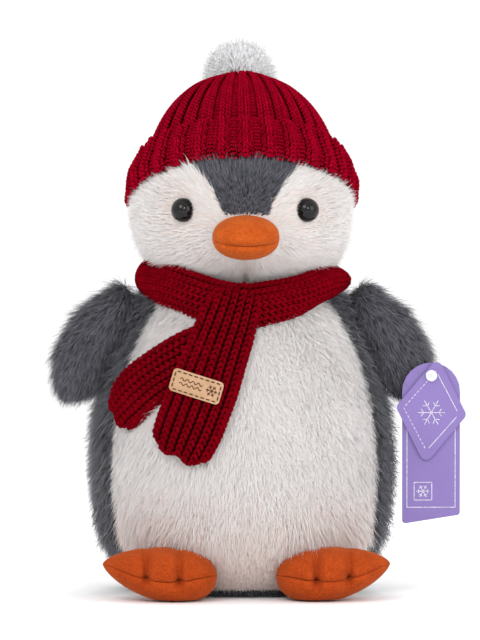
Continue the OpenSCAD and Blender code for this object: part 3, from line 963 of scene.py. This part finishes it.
def hat_cloth(name, rings, columns, thickness):
    """Thin dark cloth behind the hat's stitches."""
    cloth = mesh_object(name, *lathe(rings, columns, hat_place))
    thicken(cloth, thickness, KNIT_CLOTH)
    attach(cloth, "hat")
    return cloth


RIBS = 30
COURSE = 2.9 * MM


def make_crown():
    top = CROWN_UP + CROWN_R * math.pi / 2
    wale = 2 * math.pi / (RIBS * 3)
    grid = np.meshgrid(np.arange(0.022, top - 0.006, COURSE), np.arange(RIBS), (-1, 1, 3), indexing="ij")
    s, rib, k = (a.ravel() for a in grid)
    angle, groove = 2 * math.pi * rib / RIBS + k * wale * 0.5, k == 3
    place, *axes = hat_shell(angle, s)
    r = np.linalg.norm(place[:, :2], axis=1)
    pitch = np.clip(2 * math.pi * r / (RIBS * 3), 0.0012, None) * np.where(groove, 1.15, 1.0)
    swell = 0.0005 * np.sin(angle * 5 + 1.3) + np.where(groove, 0, 0.0008)
    sunk = np.where(groove, -0.0017, 0.0) * np.clip(r / 0.03, 0.15, 1.0)
    place = place + axes[-1] * (sunk + swell - 0.0012)[:, None]
    thick = np.clip(pitch * 0.34, 0.0009, 0.0018)
    knit = (*on_hat(place, *axes), pitch, np.full(len(s), COURSE), thick)
    legs = [knit_legs(*(a[mine] for a in knit), lean, 0.84) for mine, lean in ((~groove, 0.50), (groove, 1.05))]
    yarn = stitches("hat_crown_yarn", joined(legs), HAT_YARN, 71, (5, 3))
    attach(yarn, "hat")
    inner, inset = CROWN_R * rounding(0.0) - LINING_DEPTH, CROWN_R - LINING_DEPTH
    dome = [(inset * math.cos(t) * rounding(t), CROWN_UP + inset * math.sin(t))
            for t in np.linspace(0.05, math.pi / 2 - 0.02, 22)]
    lining = hat_cloth("hat_crown_lining", [(inner, 0.0015), (inner, CROWN_UP), *dome], 96, CLOTH_THICK)
    knitted(yarn, lining, "hat_crown", (2 * math.pi * CROWN_R, 0.12), "gathered", ["head_back_left_skin"], area=0.034)


def cuff_line(s):
    """Radius, height and slope of the folded cuff at length s up from its lower edge."""
    h = np.array([0.000, 0.004, 0.010, 0.018, 0.025, 0.029, 0.031]) + 0.0005
    r = np.array([0.0700, 0.0716, 0.0714, 0.0692, 0.0664, 0.0646, 0.0628])
    return np.interp(s, h, r), np.interp(s, h, h), np.interp(s, h[:-1], np.diff(r) / np.diff(h))


def make_cuff():
    """Folded brim: one raised wale, then two low ones on each side of a groove, and so on round it."""
    course = 2.5 * MM
    wale = 2 * math.pi / (RIBS * 5)
    base = 2 * math.pi * np.arange(RIBS) / RIBS
    legs = []
    for row in np.arange(0.0012, 0.0312, course):
        for k, lift in {0: 0.0009, 1: -0.0004, 2: -0.0019, -1: -0.0004, -2: -0.0019}.items():
            angle = base + (k + 0.12 * np.sign(k)) * wale + 0.10 * wale * np.sin(row * 900 + base * 9)
            level = row + (course / 2 if k % 2 else 0.0) + 0.0004 * np.sin(angle * 11)
            r, h, slope = cuff_line(np.clip(level, 0, 0.0313))
            r = r + lift + 0.0004 * np.sin(angle * 7 + row * 300)
            tilt = np.arctan(slope)
            frame_on_hat = on_hat(*ring_frames(angle, r, h, np.sin(tilt), np.cos(tilt)))
            legs.append(knit_legs(*frame_on_hat, r * wale * (0.95 if k else 1.35), course, 0.0012 if k else 0.0016,
                                  0.50 if abs(k) < 2 else 1.0, 0.84 if k else 0.92))
    yarn = stitches("hat_cuff_yarn", joined(legs), HAT_YARN, 72)
    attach(yarn, "hat")
    r, h, _ = cuff_line(np.linspace(0.0, 0.0305, 12))
    cloth = hat_cloth("hat_cuff_cloth", np.stack([r - 0.0026, h], 1), 120, 0.0015)
    knitted(yarn, cloth, "hat_cuff", (2 * math.pi * 0.071, 0.031), "folded", ["hat_crown_lining"])


def make_pompom():
    low, high = (np.array(c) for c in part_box("pompom"))
    centre, radius, root = (low + high) / 2, (high[0] - low[0]) / 2, 0.009
    rng = np.random.default_rng(81)
    direction = unit(rng.normal(size=(20000, 3)))
    direction = direction[direction @ unit(centre - HEAD) > -0.72]
    comb = unit(np.cross(direction, rng.normal(size=direction.shape)))
    tuft = strands("pompom_yarn_ends", centre + direction * root, direction, comb, POM_FUR, rng, reach=3.2 * MM,
                   rise=(radius - root) * 0.93, width=0.6 * MM, per_clump=14, clump=-0.12, mess=0.4, glint=0.05)
    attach(tuft, "hat")
    core = [(0.0125 * math.cos(t), 0.0125 * math.sin(t)) for t in np.linspace(-1.5, 1.5, 16)]
    verts, quads = lathe(core, 24)
    ball = mesh_object("pompom_core", verts + centre, quads, [WHITE_PILE])
    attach(ball, "hat")
    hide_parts("pompom")


# ---------------------------------------------------------------- scarf

LOOP_LOW, LOOP_RISE, LOOP_R = 0.1645, 0.0195, 0.0712  # lower edge in front, its rise behind, and radius
LOOP_HEIGHT, LOOP_TAPER, LOOP_BULGE = 0.0245, 0.0142, 0.0045
LOOP_EDGE = 1.2  # how far the loop goes on round each edge, in half heights
CLOTH_SHARE = 0.97  # of a tail's half width
CLOTH_THICK = 0.0012
STITCH_ROW = 3.5 * MM


def band(phi, t):
    """Neck loop: t runs from -1 at its lower edge to 1 at its upper edge, and its edges curl in beyond that."""
    side = np.sin(phi)
    w = np.clip(np.where(np.cos(phi) > 0, np.sqrt(side**2 + 0.01), 1.0), 0, 1)
    right = w * (side > 0)
    low = LOOP_LOW + LOOP_RISE * w + 0.0030 * right
    high = 0.1890 + 0.0170 * w - 0.0040 * right
    r_low = LOOP_R + (0.0588 - LOOP_R) * w
    r_high = 0.0570 + (0.0592 - 0.0570) * w
    s = (t + 1) / 2
    bulge = (LOOP_BULGE + 0.0025 * w) * (1 - t**2)
    r = r_low + (r_high - r_low) * s + bulge + 0.0006 * np.sin(phi * 9 + t * 2)
    z = low + (high - low) * s + 0.0007 * np.sin(phi * 7 + 1)
    return np.stack([r * np.sin(phi), -r * np.cos(phi), z], -1)


def frames(surface, u, v):
    """Place and unit axes (across, along, out) of a surface given by surface(u, v), from small steps."""
    e = 0.001
    place = surface(u, v)
    across = unit(surface(u + e, v) - surface(u - e, v))
    along = unit(surface(u, v + e) - surface(u, v - e))
    out = unit(np.cross(across, along))
    return place, across, unit(np.cross(out, across)), out


def cloth_grid(name, surface, us, vs, sink):
    """Thin closed cloth a little below a surface."""
    u, v = np.meshgrid(us, vs, indexing="xy")
    place, _, _, out = frames(surface, u.ravel(), v.ravel())
    obj = mesh_object(name, place - out * sink, grid_faces(len(vs), len(us), False))
    thicken(obj, CLOTH_THICK, KNIT_CLOTH)
    return obj


def make_loop():
    wales, rows = 7, 108
    pitch = 2 * LOOP_EDGE / wales
    levels = -LOOP_EDGE + pitch * (np.arange(wales) + 0.5)
    grid = np.meshgrid(2 * math.pi * np.arange(rows) / rows, levels, indexing="ij")
    phi, t = (a.ravel() for a in grid)

    def around(u, v):
        return band(v, -u)

    place, across, along, out = frames(around, t, phi)
    wide = 0.0142 * pitch * (1 + 0.3 * np.abs(np.sin(phi))) * 0.96
    parts = knit_legs(place, along, across, out, wide * 0.93, 2 * math.pi * 0.066 / rows, wide * 0.34, 0.42, 0.94)
    yarn = stitches("scarf_loop_yarn", parts, SCARF_YARN, 73)
    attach(yarn, "body")
    turn = np.linspace(-math.pi, math.pi, 97)
    cloth = cloth_grid("scarf_loop_cloth", around, np.linspace(-LOOP_EDGE, LOOP_EDGE, 13), turn, 0.0016)
    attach(cloth, "body")
    knitted(yarn, cloth, "scarf_neck_loop", (0.031, 0.40), "folded",
            ["belly_skin", "back_left_skin", "back_right_skin"])


def bend_centre(tail):
    """Centre of the curve that a tail's middle line follows."""
    return (tail["x0"] + math.cos(tail["lean"]) / tail["curl"], tail["z0"] - math.sin(tail["lean"]) / tail["curl"])


def on_tail(tail, x, z):
    """How far across and along a tail a point of its unrolled plane lies."""
    bend_x, bend_z = bend_centre(tail)
    side = math.copysign(1.0, tail["curl"])
    turn = np.arctan2(side * (z - bend_z), side * (bend_x - x))
    return 1 / tail["curl"] - side * np.hypot(bend_x - x, bend_z - z), (turn - tail["lean"]) / tail["curl"]


def tail_surface(tail):
    """Where a tail hangs: u across it and v along it, both in metres."""
    ca, sa = math.cos(tail["azimuth"]), math.sin(tail["azimuth"])
    bend_x, bend_z = bend_centre(tail)

    def radius(z):
        r = body_radius(z) + tail["off"]
        if tail["over_loop"]:
            t = np.clip((z - LOOP_LOW) / LOOP_HEIGHT, 0, 1.3) * 2 - 1
            loop = LOOP_R - LOOP_TAPER * (t + 1) / 2 + LOOP_BULGE * (1 - t**2) + 0.0050
            k = 0.004
            h = np.clip(0.5 + 0.5 * (loop - r) / k, 0, 1)
            r = r + (loop - r) * h + k * h * (1 - h)
        return r

    def surface(u, v):
        turn = tail["lean"] + tail["curl"] * v
        x = bend_x - (1 / tail["curl"] - u) * np.cos(turn)
        z = bend_z + (1 / tail["curl"] - u) * np.sin(turn)
        r = radius(z) + 0.0006 * np.cos(u / 0.0225 * 2.2) + 0.0005 * np.sin(v * 90)
        y = -np.sqrt(np.maximum(r * r - x * x, 1e-6))
        return np.stack([x * ca + y * sa, y * ca - x * sa, z], -1)

    return surface


LABEL_FACE = 0.0111  # the label's face, from the belly
LABEL_LEAN = math.radians(17)
FRONT_TAIL = dict(azimuth=0.0, x0=-0.0112, z0=0.172, lean=math.radians(20), curl=-0.48, length=0.0905, wide=0.0204,
                  top=0.0155, rise=0.020, off=0.0071, over_loop=True, wales=7, slant=-0.001)
BACK_TAIL = dict(azimuth=math.radians(50), x0=0.0320, z0=0.1490, lean=math.radians(62), curl=5.6, length=0.0610,
                 wide=0.0200, top=0.0180, rise=0.016, off=0.0033, over_loop=False, wales=7, slant=0.001)


def under_scarf(p):
    """Whether each point of the body lies under the scarf's loop or a tail."""
    phi = azimuth(p)
    side = np.abs(np.sin(phi))
    covered = p[:, 2] > LOOP_LOW + 0.002 + LOOP_RISE * np.where(np.cos(phi) > 0, side, 1.0)
    for tail in (FRONT_TAIL, BACK_TAIL):
        turned = phi + tail["azimuth"]
        u, v = on_tail(tail, (body_radius(p[:, 2]) + tail["off"]) * np.sin(turned), p[:, 2])
        inside = (np.abs(u) < tail["wide"] - 0.003) & (v > 0.004 - tail["length"]) & (v < tail["rise"])
        covered |= inside & (np.cos(turned) > 0)
    return covered


def half_width(v, tail):
    """Half the width of a tail at v: narrow where it is tied, full below, drawn in a little at its end."""
    full, top = tail["wide"], tail["top"]
    narrow = np.interp(v, [-0.042, -0.02, 0.0, 0.018], [full, full * 0.92, (full + top) / 2, top])
    end = np.clip((v + tail["length"]) / 0.024, 0.0, 1.0)
    return narrow * (0.84 + 0.16 * np.sin(end * math.pi / 2))


def tail_end(share, tail):
    """Where a tail ends at a share of its half width: drawn up towards its corners, and wavy."""
    corner = 1 - np.sqrt(np.clip(1 - np.clip((np.abs(share) - 0.35) / 0.68, 0, 1) ** 2, 0, 1))
    return -tail["length"] + 0.0095 * corner + 0.0012 * np.cos(share * 7.0) + tail["slant"] * share


def make_tail(name, tail):
    """A tail: columns of stitches with side and hem stitches, over a thin cloth, laid on the tail's curved surface.
    """
    surface = tail_surface(tail)
    wales = tail["wales"]
    columns = []
    for k in range(wales):
        share = (2 * k - wales + 1) / wales
        low = float(tail_end(share, tail)) + 0.001
        rows = int((tail["rise"] - low) / STITCH_ROW)
        v = low + (np.arange(rows) + 0.5) * (tail["rise"] - low) / rows
        columns.append((np.full(rows, share), v))
    share, v = joined(columns)
    pitch = 2 * half_width(v, tail) / wales
    place, across, along, out = frames(surface, share * half_width(v, tail), v)
    at_end = np.where(v < tail_end(share, tail) + 0.006, 0.0008, 0)
    place = place - out * (0.0016 * np.abs(share) ** 6 + at_end)[:, None]
    middle = knit_legs(place, along, across, out, pitch * 0.86, STITCH_ROW, pitch * 0.36, 0.40, 0.98)
    parts = joined([middle, knit_sides(surface, tail), knit_hem(surface, tail)])
    yarn = stitches(f"scarf_{name}_yarn", parts, SCARF_YARN, 74 + len(name))
    span = tail["wide"] * CLOTH_SHARE

    def squared(u, w):
        share = u / span
        low = tail_end(share, tail) + 0.0005
        height = low + (tail["rise"] - low) * w / tail["length"]
        return surface(share * half_width(height, tail) * CLOTH_SHARE, height)

    cloth = cloth_grid(f"scarf_{name}_cloth", squared, np.linspace(-span, span, 17),
                       np.linspace(0.001, tail["length"] - 0.001, 40), 0.0018)
    for piece in (yarn, cloth):
        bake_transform(piece)
    flat = (2 * tail["wide"], tail["length"] + tail["rise"])
    knitted(yarn, cloth, f"scarf_{name}_tail", flat, "hung", ["belly_skin"])


def knit_hem(surface, tail):
    """Cast-off edge: a chain of stitches along a tail's end."""
    share = np.linspace(-0.98, 0.98, 19)
    v = tail_end(share, tail) + 0.0012
    place, _, _, out = frames(surface, share * half_width(v, tail), v)
    place = place - out * (0.0014 + 0.0012 * np.abs(share) ** 4)[:, None]
    step = np.gradient(place, axis=0)
    tangent, length = unit(step), np.linalg.norm(step, axis=1)
    lean = np.where(np.arange(len(share)) % 2 == 0, 0.3, -0.3)
    axes = tilted(tangent, unit(np.cross(out, tangent)), out, lean, 0.2)
    return place, *axes, np.stack([length * 0.78, np.full(len(v), 0.0013), np.full(len(v), 0.0014)], 1)


def knit_sides(surface, tail):
    """One more column of stitches down each edge of a tail, turned under."""
    pieces = []
    for side in (-1, 1):
        v = np.arange(float(tail_end(side * 1.0, tail)) + 0.002, tail["rise"], STITCH_ROW)
        place, across, along, out = frames(surface, side * half_width(v, tail) * CLOTH_SHARE, v)
        pieces.append(knit_legs(place - out * 0.0032, along, out * -side, across * side, 0.0048, STITCH_ROW, 0.0017))
    return joined(pieces)


# ---------------------------------------------------------------- label, tag and other hard pieces

LABEL = np.array(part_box("leather_label")).mean(0)


def bars(name, segments, width, height, lift, material):
    """Flat bars between pairs of points, each pair with its own outward direction."""
    verts, faces = [], []
    for a, b, out in segments:
        a, b, out = np.array(a), np.array(b), unit(np.array(out))
        side = unit(np.cross(out, b - a)) * width / 2
        base = len(verts)
        for p in (a, b):
            for k, h in ((-1, lift), (1, lift), (1, lift + height), (-1, lift + height)):
                verts.append(p + side * k + out * h)
        quads = [(0, 3, 2, 1), (4, 5, 6, 7), (0, 1, 5, 4), (1, 2, 6, 5), (2, 3, 7, 6), (3, 0, 4, 7)]
        faces += [tuple(base + i for i in q) for q in quads]
    obj = mesh_object(name, verts, faces, [material])
    obj.data.polygons.foreach_set("use_smooth", np.zeros(len(faces), bool))
    return obj


def snowflake(centre, size):
    """Pairs of 2-D points: a plain six-armed snowflake."""
    lines = []
    for i in range(6):
        a = math.pi / 3 * i
        arm = np.array([math.cos(a), math.sin(a)])
        lines.append((centre, centre + arm * size))
        for turn in (-1, 1):
            b = a + turn * math.pi / 3.4
            fork = centre + arm * size * 0.55
            lines.append((fork, fork + np.array([math.cos(b), math.sin(b)]) * size * 0.34))
    return lines


def on_label(across, along):
    """Point of the label's face and its outward direction, from offsets about the label's middle."""
    c, s = math.cos(LABEL_LEAN), math.sin(LABEL_LEAN)
    x, z = LABEL[0] + across * c + along * s, LABEL[2] - across * s + along * c
    r = float(body_radius(z)) + LABEL_FACE
    y = -math.sqrt(r * r - x * x)
    slope = float(body_radius(z + 0.001) - body_radius(z - 0.001)) / 0.002
    return (x, y, z), (x / r, y / r, -slope)


def make_label_marks():
    """A snowflake and two waves in dark ink on the leather label."""
    lines = snowflake(np.array([0.0095, 0.0]), 0.0036)
    for level in (-0.0012, 0.0016):
        places = np.linspace(-0.0105, 0.0035, 30)
        lines += pairs([np.array([x, level + 0.0008 * math.sin(x * 1800)]) for x in places], closed=False)
    segments = [(on_label(*a)[0], on_label(*b)[0], on_label(*(a + b) / 2)[1]) for a, b in lines]
    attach(bars("label_marks", segments, 0.0005, 0.00022, -0.00004, INK), "scarf_front")


def dashed(lines, dash, gap):
    """Pieces of straight lines, dash long with gap between them."""
    pieces = []
    for a, b in lines:
        length = np.linalg.norm(b - a)
        step = (b - a) / length
        at = 0.0
        while at < length - dash * 0.4:
            pieces.append((a + step * at, a + step * min(at + dash, length)))
            at += dash + gap
    return pieces


def make_card_marks(node, body, lines):
    """Pale marks on the face of a card, from pairs of (x, z) points."""
    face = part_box(node)[0][1]
    segments = [((p[0], face, p[1]), (q[0], face, q[1]), (0, -1, 0)) for p, q in lines]
    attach(bars(f"{node}_marks", segments, 0.00042, 0.00012, -0.00002, PALE_INK), body)


def make_front_card_marks():
    """Lines inside the edges of the tilted square card, two of them dashed, and a snowflake."""
    middle = np.array(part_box("tag_front_card")).mean(0)[[0, 2]]
    c, s = math.cos(math.radians(-7)), math.sin(math.radians(-7))
    a, b = 0.0215 - 0.0042, 0.0305 - 0.0056
    diamond = ((a, 0.0), (0.0, b), (-a, 0.0), (0.0, -b))
    sides = pairs([middle + np.array([x * c - z * s, x * s + z * c]) for x, z in diamond])
    whole = [(p + (q - p) * 0.07, q - (q - p) * 0.07) for p, q in (sides[0], sides[3])]
    flake = snowflake(middle + np.array([0, -0.001]), 0.0085)
    make_card_marks("tag_front_card", "tag_front", whole + dashed(sides[1:3], 0.0016, 0.0011) + flake)


def make_back_card_marks():
    """A line inside three edges of the long card, and a small framed snowflake."""
    low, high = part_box("tag_back_card")
    x0, x1, z0 = low[0] + 0.003, high[0] - 0.003, low[2] + 0.010
    z1 = JOINTS["tag_back_swing"]["pos_m"][2] - 0.012
    lines = pairs([np.array(p) for p in ((x0, z1), (x0, z0), (x1, z0), (x1, z1))], closed=False)
    middle, half = np.array([x0 + 0.010, z0 + 0.010]), 0.0055
    lines += pairs([middle + np.array(corner) * half for corner in SQUARE])
    make_card_marks("tag_back_card", "tag_back", lines + snowflake(middle, half * 0.75))


def finish_cad_nodes():
    """Materials for the CAD nodes that are shown as they are."""
    black = gloss_material("eye_black", (0.004, 0.0035, 0.0035), 0.03, Specular_IOR_Level=0.32)
    plastic = gloss_material("washer_plastic", (0.80, 0.80, 0.79), 0.45)
    clear = gloss_material("clear_plastic", (0.90, 0.91, 0.93), 0.12, Alpha=0.55)
    leather = grained_material("label_tan", 0.62, 0.25, (1800.0, 4.0), (160.0, 3.0), (0.0003, 0.6), 0.35,
                               ((0.39, 0.225, 0.125), (0.51, 0.31, 0.18)), ((0.31, 0.17, 0.09), (0.53, 0.34, 0.20)))
    card = grained_material("card_purple", 0.42, 0.35, (1400.0, 3.0), (30.0, 1.0), (0.00008, 0.4), 0.12,
                            ((0.185, 0.131, 0.35), (0.205, 0.146, 0.38)), ((0.16, 0.11, 0.31), (0.27, 0.21, 0.46)))
    looks = {"eye_left": black, "eye_right": black, "eye_washer_left": plastic, "eye_washer_right": plastic,
             "leather_label": leather, "label_stitches": STITCH_BROWN, "tag_front_card": card, "tag_back_card": card,
             "tag_fastener": clear, "pompom_tie": cloth_material("thread_red", (0.20, 0.004, 0.016))}
    for node, material in looks.items():
        materials = NODES[node].data.materials
        materials.clear()
        materials.append(material)
    make_label_marks()
    make_front_card_marks()
    make_back_card_marks()


# ---------------------------------------------------------------- run


# The white fur's darker, warmer tint is painted shade round the eyes, the beak and the chin's seam.
WHITE_FUR = fur_material("plush_white", (0.78, 0.735, 0.70), (0.85, 0.815, 0.80), (0.90, 0.875, 0.865),
                         (1.0, 0.86, 0.80), 0.02)
GREY_FUR = fur_material("plush_grey", (0.013, 0.013, 0.017), (0.043, 0.044, 0.053), (0.19, 0.19, 0.22),
                        (1.3, 1.3, 1.3), 0.35)
POM_FUR = fur_material("pompom_white", (0.93, 0.93, 0.95), (0.98, 0.98, 1.0), (1.0, 1.0, 1.0),
                       (0.97, 0.97, 1.0), 0.02)
WHITE_PILE = pile_material("pile_white", (0.80, 0.77, 0.74), (0.90, 0.88, 0.86))
GREY_PILE = pile_material("pile_grey", (0.018, 0.020, 0.024), (0.06, 0.065, 0.075))
BEAK_SUEDE = suede_material("suede_orange", (0.38, 0.062, 0.008), (0.51, 0.094, 0.014))
# The feet wear the beak's suede painted darker: painted shade for the feet low under the belly.
SHADED_FOOT_SUEDE = suede_material("suede_orange_painted_shade", (0.31, 0.041, 0.006), (0.43, 0.062, 0.010))
HAT_YARN = yarn_material("knit_red", (0.11, 0.0005, 0.004), (0.47, 0.0013, 0.021))
# The scarf's yarn is darker than the hat's: partly a deeper red yarn, partly painted shade.
SCARF_YARN = yarn_material("knit_red_deep_and_shaded", (0.055, 0.0003, 0.002), (0.245, 0.0005, 0.006))
KNIT_CLOTH = cloth_material("knit_red_cloth", (0.045, 0.0006, 0.003))
STITCH_BROWN = cloth_material("stitch_brown", (0.075, 0.028, 0.016))
INK = cloth_material("mark_brown", (0.085, 0.032, 0.020))
PALE_INK = cloth_material("mark_pale", (0.80, 0.78, 0.90))

make_camera()
make_studio()
make_body()
make_base()
make_head()
make_beak()
make_foot(-1, "left")
make_foot(1, "right")
make_wing(-1, "left")
make_wing(1, "right")
make_crown()
make_cuff()
make_pompom()
make_loop()
make_tail("front", FRONT_TAIL)
make_tail("back", BACK_TAIL)
finish_cad_nodes()
